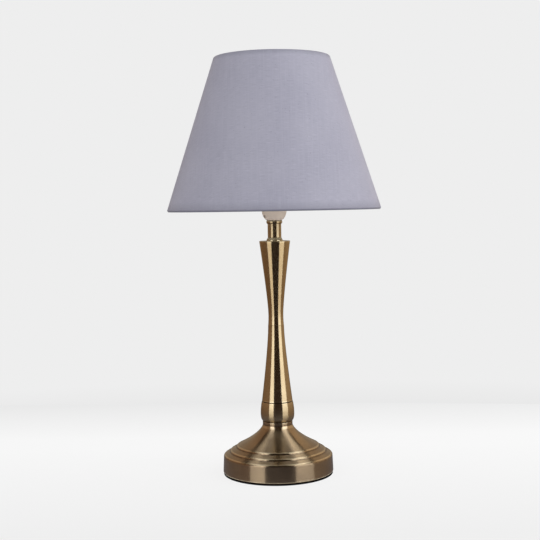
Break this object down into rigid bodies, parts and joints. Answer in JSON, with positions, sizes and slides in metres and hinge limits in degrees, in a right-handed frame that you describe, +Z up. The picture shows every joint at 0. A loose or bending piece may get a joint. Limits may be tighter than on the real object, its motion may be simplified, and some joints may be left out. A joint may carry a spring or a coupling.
{
  "type": "table lamp",
  "caption": "Table lamp: a stepped round base, a waisted turned stem and a tapered fabric shade over a screw-in candle bulb.",
  "frame": {"origin": "middle of the underside of the felt pad, on the surface that the lamp stands on", "axes": "+Z up along the lamp's own axis; -Y is the front, and +Y the back, where the lead enters"},
  "size_m": [0.2484, 0.2484, 0.4866],
  "materials": {
    "antique_brass": "brushed antique brass under satin lacquer",
    "felt": "black wool felt",
    "fibreboard": "pressed fibreboard, raw",
    "cast_iron": "as cast, painted black",
    "zinc_steel": "zinc plated",
    "plated_brass": "stamped, bright",
    "holder_plastic": "moulded, cream",
    "white_plastic": "moulded, white",
    "black_plastic": "moulded, black",
    "white_wire": "white powder coat",
    "shade_fabric": "woven, mauve grey",
    "shade_liner": "white styrene sheet",
    "opal": "opal polycarbonate",
    "aluminium": "bare",
    "bulb_glass": "black vitreous insulator",
    "lead_brown": "extruded, brown",
    "lead_blue": "extruded, blue",
    "lead_green": "extruded, green and yellow"
  },
  "bodies": {
    "root": {"foot_pad": "felt", "base_plate": "fibreboard", "base_shell": "antique_brass", "base_ballast": "cast_iron", "stem_rod": "zinc_steel", "rod_washer": "zinc_steel", "earth_tag": "plated_brass", "rod_lock_washer": "zinc_steel", "rod_nut": "zinc_steel", "cord_bush": "black_plastic", "terminal_block": "white_plastic", "terminal_screw_live": "zinc_steel", "terminal_screw_earth": "zinc_steel", "terminal_screw_neutral": "zinc_steel", "live_lead": "lead_brown", "neutral_lead": "lead_blue", "earth_lead": "lead_green", "foot_collar": "antique_brass", "lower_spindle": "antique_brass", "upper_spindle": "antique_brass", "neck_foot": "antique_brass", "neck_tube": "antique_brass", "neck_bead": "antique_brass", "holder_cap": "holder_plastic", "holder_lock_screw": "zinc_steel", "holder_insulator": "white_plastic", "holder_screw_live": "plated_brass", "holder_screw_neutral": "plated_brass", "holder_centre_contact": "plated_brass", "holder_thread_shell": "plated_brass", "holder_skirt": "holder_plastic"},
    "shade": {"shade_fitter_ring": "white_wire", "shade_spoke_1": "white_wire", "shade_spoke_2": "white_wire", "shade_spoke_3": "white_wire", "shade_bottom_ring": "white_wire", "shade_top_ring": "white_wire", "shade_liner": "shade_liner", "shade_cover": "shade_fabric"},
    "reducer": {"reducer_ring": "white_plastic"},
    "clamp": {"clamp_ring": "holder_plastic"},
    "bulb_tip": {"bulb_tip_contact": "zinc_steel"},
    "bulb": {"bulb_insulator": "bulb_glass", "bulb_cap": "zinc_steel", "bulb_housing": "white_plastic", "bulb_led_board": "aluminium", "bulb_dome": "opal"}
  },
  "joints": [
    {"name": "bulb_rise", "type": "slide", "parent": "root", "child": "bulb_tip", "axis": [0, 0, 1], "range_m": [0, 0.01128]},
    {"name": "bulb_turn", "type": "hinge", "parent": "bulb_tip", "child": "bulb", "pos_m": [0, 0, 0.35], "axis": [0, 0, 1], "range_deg": [0, 1440]},
    {"name": "shade_lift", "type": "slide", "parent": "root", "child": "shade", "axis": [0, 0, 1], "range_m": [0, 0.028]},
    {"name": "ring_turn", "type": "hinge", "parent": "shade", "child": "reducer", "pos_m": [0, 0, 0.322], "axis": [0, 0, 1], "range_deg": [0, 1080]},
    {"name": "ring_rise", "type": "slide", "parent": "reducer", "child": "clamp", "axis": [0, 0, 1], "range_m": [0, 0.006]}
  ],
  "couplings": [
    {"joint": "bulb_turn", "follows": "bulb_rise", "rad_per_m": 2226.5},
    {"joint": "ring_turn", "follows": "ring_rise", "rad_per_m": 3141.6}
  ]
}
